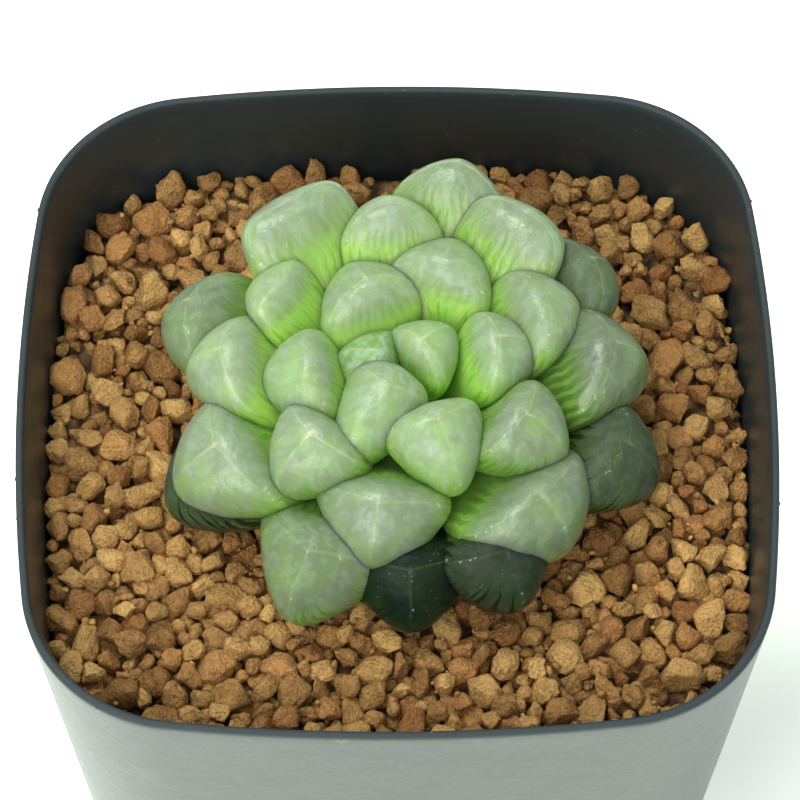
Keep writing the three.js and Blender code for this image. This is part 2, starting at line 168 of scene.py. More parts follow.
SPUR_STEPS = 17  # places for papillae along the keel and along each margin
MOST_SPURS = 0.32  # share of them that hold one on the leaf that has most
SPUR_LUCK = (0.3, 1.0)  # a leaf's own part of that share
YOUNG_SPURS = 0.3  # the share on the youngest leaf over the share on the oldest
SPUR_FROM = 0.95  # rise of the lowest and the highest place
SPUR_TO = 1.88
SPUR_STRAY = 0.08  # how far one strays round the section, in radians
SPUR_SLIP = 0.025  # and along it, in rise
SPUR_RADIUS = 0.05
SPUR_SIZES = (0.6, 1.2)  # of that radius
SPUR_REACH = 1.05  # points within this many radii of its middle belong to it
LEAF_SEEDS = 90  # a leaf draws a number up to this, which seeds the pattern of its veins

GRAIN_COUNT = 2200
GRAIN_RADII = (0.7, 2.35)
GRAIN_SPREAD = (1.2, 2.4)  # of their radii, which makes small ones the more common
SHADE_SPREAD = (2.2, 2.2)  # of their shades, which makes middling ones the more common
GRAIN_FLATS = 12
FLAT_DEPTHS = (0.5, 0.88)  # a flat's distance from the middle, over the radius
FLAT_WEAR = 0.95  # share of what stands over a flat that is worn off
GRAIN_WAVES = ((4.0, 0.045), (9.0, 0.035), (15.0, 0.022))  # tightness and depth
WAVE_COUNT = 5  # of each tightness
WAVE_TIGHTNESS = (0.5, 1.0)  # of the one given
WAVE_DEPTHS = (0.4, 1.0)  # of the one given
WAVE_PHASES = 6.3  # about a full turn
GRAIN_LENGTH = 1.18  # over the ball's
GRAIN_WIDTHS = (0.88, 1.08)
GRAIN_HEIGHTS = (0.72, 0.98)
CRUMB_COUNT = 700
CRUMB_RADII = (0.2, 0.55)
CRUMB_RISE = (-0.2, 0.8)  # sine of the slope at which one lies on its granule
CRUMB_SEAT = (0.85, 0.3)  # shares of the granule's radius and its own between their middles
BED_DEPTH = 4.6  # of loose granules over the soil that isn't seen
FINE_FROM = 1.1  # radius of granules that are finely shaped
TOP_LAYER = 3.0  # granules that lie deeper than this are plainer
SETTLE_ROUNDS = 20
SETTLE_STEPS = 10
SINK_STEP = 0.05
CLOSENESS = 0.87  # distance of granules that touch, over the sum of their radii
NEIGHBOURS = 1.3  # pairs that lie closer than this many such distances are watched
TOP_TOUCH = 0.9  # least distance from the soil's top and from the wall, over the radius
WALL_TOUCH = 0.95
LEAF_TOUCH = 0.8  # a granule that ends up nearer than this to a leaf is left out
MOST_FACES = 190000  # in one piece

BED_GAP = 0.4  # from the pot's wall
BED_FLOOR_GAP = 0.3  # and from its floor
BED_LIFT = 1  # the bed's rise over the middles of the lowest granules
BED_EDGE = 0.8  # its side stops this far under its top
BED_SIDE_RINGS = 8
BED_TOP_RINGS = 20
BED_SHARES = (0.97, 0.05)  # the outermost and the innermost of those, over the bed's outline
BED_LUMPS = 0.5  # their height
LUMP_TIGHTNESS = (1.9, 1.7)  # along X and Y
LUMP_SWAY = 3

# ---- Shader maths ----------------------------------------------------------------------------


class Value:
    """One output of a shader node. Arithmetic on it adds the nodes that work it out."""

    def __init__(self, finish, socket):
        self.finish = finish
        self.socket = socket

    def math(self, operation, *terms):
        return self.finish.node("ShaderNodeMath", {"operation": operation}, dict(enumerate(terms)))

    def __add__(self, other):
        return self.math("ADD", self, other)

    def __sub__(self, other):
        return self.math("SUBTRACT", self, other)

    def __mul__(self, other):
        return self.math("MULTIPLY", self, other)

    def __truediv__(self, other):
        return self.math("DIVIDE", self, other)

    def __rsub__(self, other):
        return self.math("SUBTRACT", other, self)

    def __rtruediv__(self, other):
        return self.math("DIVIDE", other, self)

    def __pow__(self, other):
        return self.math("POWER", self, other)

    def __abs__(self):
        return self.math("ABSOLUTE", self)

    __radd__ = __add__
    __rmul__ = __mul__

    def at_least(self, other):
        return self.math("MAXIMUM", self, other)

    def at_most(self, other):
        return self.math("MINIMUM", self, other)

    def between(self, low, high):
        """0 below low, 1 above high and smooth between."""
        settings = {"interpolation_type": "SMOOTHSTEP"}
        sockets = {"Value": self, "From Min": low, "From Max": high}
        return self.finish.node("ShaderNodeMapRange", settings, sockets)

    def parts(self):
        """The three numbers of a vector."""
        split = self.finish.node("ShaderNodeSeparateXYZ", {}, {0: self})
        return [Value(self.finish, socket) for socket in split.socket.node.outputs]


class Finish:
    """A procedural material, built node by node."""

    def __init__(self, name):
        self.material = bpy.data.materials.new(name)
        self.material.use_nodes = True
        self.tree = self.material.node_tree
        self.surface = self.tree.nodes["Principled BSDF"]

    def node(self, kind, settings, sockets, output=0):
        """Adds a node, sets its settings and then its sockets, and gives one of its outputs."""
        made = self.tree.nodes.new(kind)
        for name, setting in settings.items():
            if name == "stops":
                fill_ramp(made.color_ramp, setting)
            else:
                setattr(made, name, setting)
        for name, value in sockets.items():
            self.feed(made.inputs[name], value)
        return Value(self, made.outputs[output])

    def feed(self, socket, value):
        """Links a socket to a value, or sets it to a plain number or colour."""
        if isinstance(value, Value):
            self.tree.links.new(value.socket, socket)
        else:
            socket.default_value = value

    def wears(self, **sockets):
        """Sets or links sockets of the surface shader, named with _ for spaces, and gives the
        material."""
        for name, value in sockets.items():
            self.feed(self.surface.inputs[name.replace("_", " ")], value)
        return self.material

    def attribute(self, name, output="Vector"):
        return self.node("ShaderNodeAttribute", {"attribute_name": name}, {}, output)

    def scaled(self, vector, factors):
        return self.node("ShaderNodeVectorMath", {"operation": "MULTIPLY"}, {0: vector, 1: factors})

    def place(self):
        """Position on the object in millimetres."""
        found = self.node("ShaderNodeTexCoord", {}, {}, "Object")
        return self.scaled(found, (1 / MM, 1 / MM, 1 / MM))

    def noise(self, where, scale, detail=2.0, roughness=0.5):
        """Soft clouds, about as many to the millimetre as the scale says."""
        sockets = {"Vector": where, "Scale": scale, "Detail": detail, "Roughness": roughness}
        return self.node("ShaderNodeTexNoise", {}, sockets)

    def cells(self, where, scale):
        """Distance from the middles of scattered cells."""
        return self.node("ShaderNodeTexVoronoi", {}, {"Vector": where, "Scale": scale}, "Distance")

    def luck(self, seed):
        """A number from 0 to 1, drawn anew for each value of the seed."""
        return self.node("ShaderNodeTexWhiteNoise", {"noise_dimensions": "1D"}, {"W": seed})

    def blend(self, share, one, other):
        """Colour one where share is 0 and other where it is 1."""
        made = self.node("ShaderNodeMix", {"data_type": "RGBA"}, {"Factor": share}).socket.node
        self.feed(made.inputs[6], one)  # the names A, B and Result are those of other sockets too
        self.feed(made.inputs[7], other)
        return Value(self, made.outputs[2])

    def ramp(self, share, stops):
        return self.node("ShaderNodeValToRGB", {"stops": stops}, {0: share})

    def bump(self, height, distance, under=None):
        """A relief of height 0 to 1, distance millimetres deep, over another one."""
        sockets = {"Height": height, "Distance": distance * MM}
        if under:
            sockets["Normal"] = under
        return self.node("ShaderNodeBump", {}, sockets)


def fill_ramp(ramp, stops):
    """Gives a ramp its stops, which come in the order of their positions."""
    for element, (position, colour) in zip(ramp.elements, (stops[0], stops[-1])):
        element.position = position
        element.color = colour
    for position, colour in stops[1:-1]:
        ramp.elements.new(position).color = colour


def rgb(red, green, blue):
    return (red, green, blue, 1.0)


# ---- Finishes --------------------------------------------------------------------------------

VEIN_LANES = 34  # round a leaf, with a vein in each
VEIN_WANDER = 2.2  # how far the lanes stray, in lanes
LOWEST_VEIN_TOP = 1.05  # the rise that the shortest vein reaches
MOST_VEIN_WIDTH = 0.34  # half a vein's width over its lane's
LINE_EDGE = (0.05, 0.22)  # a pale line fades between these distances from its middle
OUT_OF_REACH = 9  # added to such a distance where there is no line

# Where a leaf's marks start or end, as spans of its rise: 0 at the foot, 1 where the dome starts
# and 2 at the tip.
VEINS_START = (0.6, 0.95)
WINDOW_OPENS = (0.78, 1.38)
TOP_STARTS = (1.15, 1.7)
MIST_AND_HIGHLIGHT_STARTS = (1.0, 1.4)
STRIPES_END = (1.15, 1.7)
LINES_START = (0.8, 1.1)
RAYS_START = (1.1, 1.3)
RAYS_END = (1.45, 1.8)
BLUSH_STARTS = (1.6, 1.85)
DOTS_START = (1.05, 1.3)
RIBS_END = (1.2, 1.75)

# Colours at the pale and the deep end of a leaf's darkness. The deep ones are the own dark colour
# of the low outer leaves with painted shade in them as well.
YOUNG_WINDOW = rgb(0.11, 0.28, 0.022)
PALE_WINDOW = rgb(0.225, 0.312, 0.125)
DEEP_WINDOW = rgb(0.005, 0.013, 0.006)
# The top of the crown: paler and bluer, partly its own colour and partly a painted highlight.
PALE_TOP_AND_HIGHLIGHT = rgb(0.240, 0.298, 0.200)
DEEP_TOP = rgb(0.009, 0.018, 0.011)
PALE_FLESH = rgb(0.34, 0.60, 0.10)
DEEP_FLESH = rgb(0.010, 0.032, 0.006)
PALE_VEIN = rgb(0.17, 0.43, 0.035)
DEEP_VEIN = rgb(0.002, 0.009, 0.002)
PALE_LINE = rgb(0.42, 0.53, 0.27)
# Pale bluish haze in the crown: partly the window's own clouding, partly a painted highlight.
HAZE_AND_HIGHLIGHT = rgb(0.38, 0.46, 0.43)
TIP_BLUSH = rgb(0.58, 0.49, 0.41)
SPUR_WHITE = rgb(0.80, 0.84, 0.74)
WAXY_SHEEN = rgb(0.85, 1.0, 0.70)
LEAF_SHINES = {"young_leaf": 0.5, "grown_leaf": 0.6, "shaded_leaf": 0.08}
LIGHT_DEPTH = 4.0  # how far light goes in the flesh
LIGHT_DEPTHS = (1.1, 1.4, 0.35)  # the same for red, green and blue light, over that
MIST_AND_HIGHLIGHT_STRETCH = (1.1, 1.1, 0.35)  # the haze and its painted highlight run in streaks from the foot to the tip

CLAY_SHADES = [
    (0.0, rgb(0.15, 0.050, 0.014)),
    (0.3, rgb(0.40, 0.205, 0.065)),
    (0.6, rgb(0.66, 0.380, 0.125)),
    (1.0, rgb(1.00, 0.62, 0.21)),
]
RED_CLAY = rgb(0.60, 0.235, 0.075)
# Painted shade in the granules' pits.
PIT_SHADE = rgb(0.14, 0.06, 0.02)
SHADE_DRAWS = 9000  # shades further apart than 1 over this draw hues of their own
# The bed's colours: clay darkened with painted shade, as deep grains look between granules.
DEPTH_SHADES = [(0.3, rgb(0.02, 0.010, 0.004)), (0.85, rgb(0.30, 0.150, 0.050))]

BLACK_PLASTIC = (rgb(0.012, 0.020, 0.022), rgb(0.022, 0.034, 0.036))
SOIL_DUST = rgb(0.13, 0.11, 0.08)
PALE_SPECKS = rgb(0.25, 0.24, 0.21)
DUST_ENDS = (54.0, 60.0)  # heights between which the dust on the wall thins out
WORN_FROM = (POT_HEIGHT - 1.0, POT_HEIGHT - 0.3)  # and between which its shine wears off

ROOT_BROWN = rgb(0.42, 0.28, 0.15)
STEM_GREEN = rgb(0.48, 0.55, 0.25)
STEM_STREAKS = rgb(0.25, 0.17, 0.08)
GREEN_FROM = (44.0, 58.0)  # heights between which the brown turns green


class LeafPattern:
    """Where a point lies in its leaf, and the patterns that the leaf's marks follow."""

    def __init__(self, paint):
        self.in_leaf = paint.attribute("leaf_place")
        self.across, self.upper, self.rise = self.in_leaf.parts()
        self.green, seed, self.radius = paint.attribute("leaf_traits").parts()
        self.luck = paint.luck(seed)
        self.where = paint.place()
        self.cloud = paint.noise(self.where, 0.3)
        self.mottle = paint.noise(self.where, 0.9, 3.0)
        self.fine = paint.noise(self.where, 3.0, 4.0, 0.6)
        turn = self.upper.math("ARCTAN2", self.upper, self.across) / (2 * math.pi)
        lane = turn * VEIN_LANES + (self.cloud - 0.5) * VEIN_WANDER + VEIN_LANES
        lane = lane.math("FLOORED_MODULO", lane, VEIN_LANES)
        number = lane.math("FLOOR", lane)
        self.chance = paint.luck(number + seed)
        self.off_middle = abs(lane - number - 0.5)


def leaf_veins(leaf):
    """Veins that thin out towards a top of their own, higher on darker leaves and lower faces. A
    leaf's darkness is partly its own colour and partly painted shade.
    """
    vein_top = leaf.chance * 0.45 + leaf.green.at_most(0.5) * 0.6 - leaf.upper * 0.25
    width = ((vein_top + LOWEST_VEIN_TOP - leaf.rise) * 0.9).at_most(MOST_VEIN_WIDTH)
    return (width - leaf.off_middle).between(-0.04, 0.12) * leaf.rise.between(*VEINS_START)


def leaf_lines(leaf):
    """Broken pale lines on the keel, on the margins and in rays between some veins. The margin
    lines are partly the leaf's own pale margins and partly a painted rim of light on its edges.
    """
    keel_gap = abs(leaf.across) * leaf.radius + leaf.upper.between(-0.2, 0.2) * OUT_OF_REACH
    keel = (1 - keel_gap.between(*LINE_EDGE)) * leaf.luck * 0.5
    # Margin lines: partly the leaf's own pale margins, partly a painted rim of light on its edges.
    slope = MARGIN_ANGLES[0]
    off_margin = abs(leaf.across) * math.sin(slope) - leaf.upper * math.cos(slope)
    margin_gap = abs(off_margin) * leaf.radius
    margin_gap = margin_gap + (1 - leaf.upper.between(0.0, 0.2)) * OUT_OF_REACH
    margin = (1 - margin_gap.between(*LINE_EDGE)) * (leaf.luck * 0.3 + 0.1)
    ray = leaf.off_middle.between(0.38, 0.49) * leaf.chance.between(0.5, 0.6) * 0.3
    ray = ray * leaf.rise.between(*RAYS_START) * (1 - leaf.rise.between(*RAYS_END))
    line = keel.at_least(ray) * leaf.mottle.between(0.35, 0.6)
    line = line.at_least(margin * leaf.mottle.between(0.3, 0.5))
    return line * leaf.rise.between(*LINES_START)


def leaf_colour(paint, leaf, vein, line):
    """Green flesh that clears to a pale window in the crown, with the leaf's marks on it."""
    young = leaf.green * -1.0
    # Each colour runs to its deep end with the leaf's darkness, which is partly painted shade.
    window = paint.blend(leaf.green, PALE_WINDOW, DEEP_WINDOW)
    window = paint.blend(young * 0.8, window, YOUNG_WINDOW)
    top = paint.blend(young * 0.6, paint.blend(leaf.green, PALE_TOP_AND_HIGHLIGHT, DEEP_TOP), YOUNG_WINDOW)
    flesh = paint.blend(leaf.green * 0.96, PALE_FLESH, DEEP_FLESH)
    opening = (leaf.rise + (leaf.mottle - 0.5) * 0.2).between(*WINDOW_OPENS)
    colour = paint.blend(opening, flesh, window)
    # Towards the tip the crown turns to its top colour, which on the paler leaves holds a painted
    # highlight.
    colour = paint.blend(leaf.rise.between(*TOP_STARTS) * 0.7, colour, top)

    # Pale bluish patches in the crown: partly the window's own clouding and partly a painted
    # highlight of the light from above, fading out on the darkest leaves.
    mist_and_highlight_place = paint.scaled(paint.scaled(leaf.in_leaf, leaf.radius), MIST_AND_HIGHLIGHT_STRETCH)
    mist_and_highlight = paint.noise(mist_and_highlight_place, 1.0).between(0.42, 0.66) * leaf.rise.between(*MIST_AND_HIGHLIGHT_STARTS)
    colour = paint.blend(mist_and_highlight * (0.27 - leaf.green * 0.27), colour, HAZE_AND_HIGHLIGHT)
    clouding = leaf.cloud.between(0.35, 0.7) * 0.22 * (1 - leaf.upper * 0.5)
    colour = paint.blend(clouding, colour, flesh)
    stripe = (1 - leaf.off_middle.between(0.1, 0.42)) * (leaf.chance * 0.4 + 0.1)
    colour = paint.blend(stripe * (1 - leaf.rise.between(*STRIPES_END)), colour, flesh)
    dark = paint.blend(leaf.green * 1.25, PALE_VEIN, DEEP_VEIN)
    colour = paint.blend(vein * 0.9, colour, dark)

    pale = paint.blend(leaf.green * 0.8, PALE_LINE, window)
    colour = paint.blend(line, colour, pale)
    streak = 1 - (abs(leaf.across) * leaf.radius + leaf.fine * 0.3).between(0.12, 0.38)
    streak = streak * (1 - leaf.radius.between(0.2, 1.0)) * leaf.rise.between(*BLUSH_STARTS)
    blush = paint.blend(leaf.green, TIP_BLUSH, pale)
    colour = paint.blend(streak * (leaf.luck * 0.5 + 0.15), colour, blush)
    dots = 1 - paint.cells(leaf.where, 1.9).between(0.06, 0.14)
    dots = dots * leaf.rise.between(*DOTS_START) * leaf.cloud.between(0.45, 0.6)
    spur = paint.attribute("leaf_spur", "Fac")
    return paint.blend((dots * 0.25).at_least(spur * 0.3), colour, SPUR_WHITE)


def leaf_flesh(name, shine):
    """A leaf's translucent flesh under a smooth waxy skin."""
    paint = Finish(name)
    leaf = LeafPattern(paint)
    vein = leaf_veins(leaf)
    line = leaf_lines(leaf)
    relief = paint.bump(leaf.fine, 0.03)
    relief = paint.bump(leaf.mottle, 0.15, under=relief)
    relief = paint.bump(leaf.off_middle * (1 - leaf.rise.between(*RIBS_END)), 0.10, under=relief)
    relief = paint.bump(vein * 0.5 + line, 0.03, under=relief)
    return paint.wears(
        Base_Color=leaf_colour(paint, leaf, vein, line),
        Roughness=0.25 + leaf.fine * 0.14,
        Normal=relief,
        Subsurface_Weight=1.0,
        Subsurface_Radius=LIGHT_DEPTHS,
        Subsurface_Scale=LIGHT_DEPTH * MM,
        Specular_IOR_Level=shine,
        Sheen_Weight=shine * 0.15,
        Sheen_Roughness=0.3,
        Sheen_Tint=WAXY_SHEEN,
    )


def baked_clay(name):
    """Rough orange-brown granules, each of its own shade of colour and some of them redder, with
    painted shade darkening their pits.
    """
    paint = Finish(name)
    shade = paint.attribute("grain_shade", "Fac")
    where = paint.place()
    redness = paint.luck(shade * SHADE_DRAWS).between(0.45, 0.95) * 0.5
    mottle = paint.noise(where, 0.9, 4.0, 0.65)
    grit = paint.noise(where, 4.0, 5.0, 0.75)
    pits = paint.cells(where, 2.6)
    colour = paint.ramp(shade * 0.8 + mottle * 0.75 + grit * 0.6 - 0.53, CLAY_SHADES)
    colour = paint.blend(redness, colour, RED_CLAY)
    # Painted shade darkens the pits.
    colour = paint.blend((1 - pits.between(0.05, 0.3)) * 0.45, colour, PIT_SHADE)
    relief = paint.bump(pits, 0.28, under=paint.bump(grit, 0.42))
    return paint.wears(Base_Color=colour, Roughness=0.95, Normal=relief, Specular_IOR_Level=0.2)


def shaded_soil_depths(name):
    """What lies in the dark between the granules: deeper grains, which run together, painted dark
    with the shade that falls between the granules.
    """
    paint = Finish(name)
    where = paint.place()
    grit = paint.noise(where, 1.2, 5.0, 0.7)
    grains = paint.cells(where, 0.55)
    colour = paint.ramp(grit * 0.7 + (1 - grains.between(0.2, 0.75)) * 0.45, DEPTH_SHADES)
    relief = paint.bump(1 - grains, 1.2, under=paint.bump(grit, 0.5))
    return paint.wears(Base_Color=colour, Roughness=1.0, Normal=relief)


def pot_plastic(name):
    """Thin black moulded plastic with a dull shine, dusted with soil low down."""
    paint = Finish(name)
    where = paint.place()
    cloud = paint.noise(where, 0.12, 4.0, 0.6)
    scuff = paint.noise(where, 1.8, 5.0, 0.7)
    specks = 1 - paint.cells(where, 0.55).between(0.03, 0.1)
    height = where.parts()[2]
    colour = paint.blend(cloud, *BLACK_PLASTIC)
    dust = scuff.between(0.55, 0.75) * (1 - height.between(*DUST_ENDS)) * 0.15
    colour = paint.blend(dust, colour, SOIL_DUST)
    colour = paint.blend(specks * scuff.between(0.4, 0.6) * 0.35, colour, PALE_SPECKS)
    worn = height.between(*WORN_FROM)
    return paint.wears(
        Base_Color=colour,
        Roughness=0.32 + scuff * 0.18 + worn * 0.25,
        Normal=paint.bump(cloud, 0.25, under=paint.bump(scuff, 0.02)),
        Specular_IOR_Level=0.5,
        Coat_Weight=0.25 * (1 - worn),
        Coat_Roughness=0.3,
    )


def stem_flesh(name):
    """Pale waxy stem and roots, browner lower down."""
    paint = Finish(name)
    where = paint.place()
    streak = paint.noise(where, 0.8, 4.0, 0.6)
    colour = paint.blend(where.parts()[2].between(*GREEN_FROM), ROOT_BROWN, STEM_GREEN)
    colour = paint.blend(streak * 0.5, colour, STEM_STREAKS)
    return paint.wears(Base_Color=colour, Roughness=0.6, Normal=paint.bump(streak, 0.15))


# ---- Meshes ----------------------------------------------------------------------------------


def make_piece(name, points, faces, material=None):
    """An object from points in millimetres."""
    mesh = bpy.data.meshes.new(name)
    mesh.from_pydata((np.asarray(points) * MM).tolist(), [], faces)
    mesh.shade_smooth()
    piece = bpy.data.objects.new(name, mesh)
    bpy.context.scene.collection.objects.link(piece)
    if material:
        mesh.materials.append(material)
    return piece


def skinned(name, start, rings, end, material=None):
    """A closed form over rings of equal point count, from one end point to the other."""
    sides = len(rings[0])
    faces = []
    for side in range(sides):
        after = (side + 1) % sides
        faces.append((0, 1 + after, 1 + side))
        for ring in range(len(rings) - 1):
            low = 1 + ring * sides
            high = low + sides
            faces.append((low + side, low + after, high + after, high + side))
        last = 1 + (len(rings) - 1) * sides
        faces.append((last + sides, last + side, last + after))
    return make_piece(name, np.concatenate([[start], *rings, [end]]), faces, material)


def unit_ball(detail):
    """Points and triangles of a ball of radius 1."""
    work = bmesh.new()
    bmesh.ops.create_icosphere(work, subdivisions=detail, radius=1)
    points = np.array([vertex.co for vertex in work.verts])
    faces = np.array([[vertex.index for vertex in face.verts] for face in work.faces])
    work.free()
    return points, faces


def balls(name, centres, radii, detail):
    """One mesh of many small balls."""
    ball, ball_faces = unit_ball(detail)
    points = [ball * radius + centre for centre, radius in zip(centres, radii)]
    faces = [ball_faces + number * len(ball) for number in range(len(radii))]
    return make_piece(name, np.concatenate(points), np.concatenate(faces).tolist())


def points_of(piece):
    """A piece's points in millimetres."""
    flat = np.empty(len(piece.data.vertices) * 3)
    piece.data.vertices.foreach_get("co", flat)
    return flat.reshape(-1, 3) / MM


def join_or_cut(piece, others, operation):
    """Joins or cuts a piece with the others, and leaves a plain mesh."""
    for other in others:
        modifier = piece.modifiers.new(other.name, "BOOLEAN")
        modifier.operation = operation
        modifier.solver = "MANIFOLD"
        modifier.object = other
    graph = bpy.context.evaluated_depsgraph_get()
    shaped = bpy.data.meshes.new_from_object(piece.evaluated_get(graph))
    piece.modifiers.clear()
    before = piece.data
    piece.data = shaped
    bpy.data.meshes.remove(before)


def keep_largest(piece):
    """Drops the scraps that a cut leaves behind."""
    work = bmesh.new()
    work.from_mesh(piece.data)
    left = set(work.verts)
    islands = []
    while left:
        edge = [left.pop()]
        island = list(edge)
        while edge:
            for link in edge.pop().link_edges:
                for vertex in link.verts:
                    if vertex in left:
                        left.remove(vertex)
                        edge.append(vertex)
                        island.append(vertex)
        islands.append(island)
    islands.sort(key=len)
    for island in islands[:-1]:
        bmesh.ops.delete(work, geom=island, context="VERTS")
    work.to_mesh(piece.data)
    work.free()


def dress(piece, material):
    """Gives a piece this one material, and keeps its real edges sharp."""
    piece.data.materials.clear()
    piece.data.materials.append(material)
    piece.data.shade_smooth()
    piece.data.set_sharp_from_angle(angle=SMOOTH_ANGLE)


def note_points(piece, name, values):
    """Stores a number or a vector for each point of a piece, for its material."""
    kind, field = ("FLOAT", "value") if values.ndim == 1 else ("FLOAT_VECTOR", "vector")
    stored = piece.data.attributes.new(name, kind, "POINT")
    stored.data.foreach_set(field, values.astype(np.float32).ravel())


def discard(pieces):
    for piece in pieces:
        mesh = piece.data
        bpy.data.objects.remove(piece)
        bpy.data.meshes.remove(mesh)


def install(piece, node):
    """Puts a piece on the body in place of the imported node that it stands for."""
    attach(piece, "root")
    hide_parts(node)


# ---- Pot -------------------------------------------------------------------------------------


def arc(centre, radius, angles):
    return centre + radius * np.stack([np.cos(angles), np.sin(angles)], 1)


def rim_outline():
    """Points round the rim: four long arcs joined by four corner arcs."""
    side_radius = (RIM_HALF**2 + SIDE_BOW**2) / (2 * SIDE_BOW)
    side_centre = RIM_HALF - side_radius
    reach = side_radius - CORNER_RADIUS
    corner_centre = (side_centre + math.sqrt(2 * reach**2 - side_centre**2)) / 2
    half_sweep = math.atan2(corner_centre, corner_centre - side_centre)
    steps = np.arange(2 * OUTLINE_STEPS) / (2 * OUTLINE_STEPS)
    outline = []
    for quarter in range(4):
        facing = quarter * math.pi / 2
        diagonal = facing + math.pi / 4
        side_angles = facing - half_sweep + 2 * half_sweep * steps
        corner_angles = facing + half_sweep + (math.pi / 2 - 2 * half_sweep) * steps
        middle = side_centre * np.array([math.cos(facing), math.sin(facing)])
        outline.append(arc(middle, side_radius, side_angles))
        away = corner_centre * math.sqrt(2)
        middle = away * np.array([math.cos(diagonal), math.sin(diagonal)])
        outline.append(arc(middle, CORNER_RADIUS, corner_angles))
    return np.concatenate(outline)


RIM = rim_outline()


def outer_half(z):
    """From the pot's middle to the middle of a side, at height z."""
    return FOOT_HALF + (RIM_HALF - FOOT_HALF) * z / POT_HEIGHT


def pot_ring(z, inset):
    """The pot's outline at height z, drawn in from its outer face."""
    flat = RIM * (outer_half(z) - inset) / RIM_HALF
    return np.column_stack([flat, np.full(len(flat), z)])


def wall_reach(x, y, z):
    """How far the outer face is from the axis at height z, in the direction of x and y."""
    angles = np.arctan2(RIM[:, 1], RIM[:, 0])
    at = np.interp(np.arctan2(y, x), angles, np.hypot(*RIM.T), period=2 * math.pi)
    return at * outer_half(z) / RIM_HALF


def disc(name, radius, bottom, top, x=0, y=0, sides=DISC_SIDES):
    ring = arc((x, y), radius, np.arange(sides) * 2 * math.pi / sides)
    rings = [np.column_stack([ring, np.full(sides, z)]) for z in (bottom, top)]
    return skinned(name, (x, y, bottom), rings, (x, y, top))


def rim_nubs():
    """Crumbs of plastic that the mould left on the outer edge of the rim."""
    rng = np.random.default_rng(SEED)
    spots = rng.choice(pot_ring(POT_HEIGHT - NUB_DROP, NUB_SINK), NUB_COUNT)
    return balls("nubs", spots, rng.uniform(*NUB_RADII, size=NUB_COUNT), PLAIN_BALL)


def pot_profile():
    """Height and distance from the outer face, all the way from the underside of the floor round
    the foot and the rim to the floor's top."""
    turns = np.linspace(0, math.pi / 2, ROUNDING_STEPS)
    rim_heights = POT_HEIGHT - RIM_ROUNDING * (1 - np.sin(turns))
    rim_insets = RIM_ROUNDING * (1 - np.cos(turns))
    thinning = POT_HEIGHT - RIM_ZONE
    outside = np.linspace(STRAIGHT_FROM, thinning, WALL_RINGS)
    inside = np.linspace(thinning, FLOOR_TOP + FLOOR_FILLET, WALL_RINGS)
    return [
        (FLOOR_RISE, FOOT_WIDTH),
        (0.0, FOOT_WIDTH),
        (0.0, FOOT_EDGE),
        (FOOT_EDGE, 0.0),
        *[(z, 0.0) for z in outside],
        *zip(rim_heights, rim_insets),
        *zip(rim_heights[::-1], RIM_WALL - rim_insets[::-1]),
        *[(z, WALL) for z in inside],
        (FLOOR_TOP + FILLET_MIDDLE, WALL + FILLET_MIDDLE),
        (FLOOR_TOP, WALL + FLOOR_FILLET),
    ]


def build_pot(material):
    rings = [pot_ring(z, inset) for z, inset in pot_profile()]
    pot = skinned("pot_shell", (0, 0, FLOOR_RISE), rings, (0, 0, FLOOR_TOP))
    boss = disc("boss", BOSS_RADIUS, 0, FLOOR_TOP - BOSS_SINK, sides=BOSS_SIDES)
    join_or_cut(pot, [boss], "UNION")
    drains = []
    for hole in range(DRAIN_COUNT):
        angle = (hole + 0.5) * 2 * math.pi / DRAIN_COUNT
        x = DRAIN_CIRCLE * math.cos(angle)
        y = DRAIN_CIRCLE * math.sin(angle)
        drains.append(disc(f"drain_{hole}", DRAIN_RADIUS, -PAST, FLOOR_TOP + PAST, x, y))
    join_or_cut(pot, drains, "DIFFERENCE")
    nubs = rim_nubs()
    join_or_cut(pot, [nubs], "UNION")
    discard([boss, nubs, *drains])
    dress(pot, material)
    install(pot, "pot")


# ---- Leaves ----------------------------------------------------------------------------------


def section_radius(angle, rounding):
    """The rounded triangle: two corners are the leaf's margins and the third its keel."""
    corners = TRIANGLE * np.sin(3 * angle) + CORNERS * np.cos(6 * angle - math.pi)
    for corner in (KEEL_ANGLE, *MARGIN_ANGLES):
        gap = (angle - corner + math.pi) % (2 * math.pi) - math.pi
        corners = corners + KEEL_RIDGE * np.exp(-((gap / RIDGE_WIDTH) ** 2))
    return 1 + corners * (1 - rounding)


def dome(share, power):
    """Width over full width, at this share of the dome's length."""
    return max(0.0, 1 - share**power) ** (1 / power)


def leaf_slot(age):
    if age < YOUNG_LEAVES:
        return "young_leaf"
    return "grown_leaf" if age < GROWN_LEAVES else "shaded_leaf"


def leaf_foot(age):
    """Where a leaf leaves the stem: distance from the axis and height."""
    if age < TIP_LEAF_COUNT:
        return (TIP_LEAF_START + TIP_LEAF_STEP * age, YOUNGEST_BASE - TIP_LEAF_DROP * age)
    share = (age - TIP_LEAF_COUNT) / (len(LEAVES) - 1 - TIP_LEAF_COUNT)
    return (STEM_RADIUS - BASE_DEPTH, YOUNGEST_BASE + (OLDEST_BASE - YOUNGEST_BASE) * share)


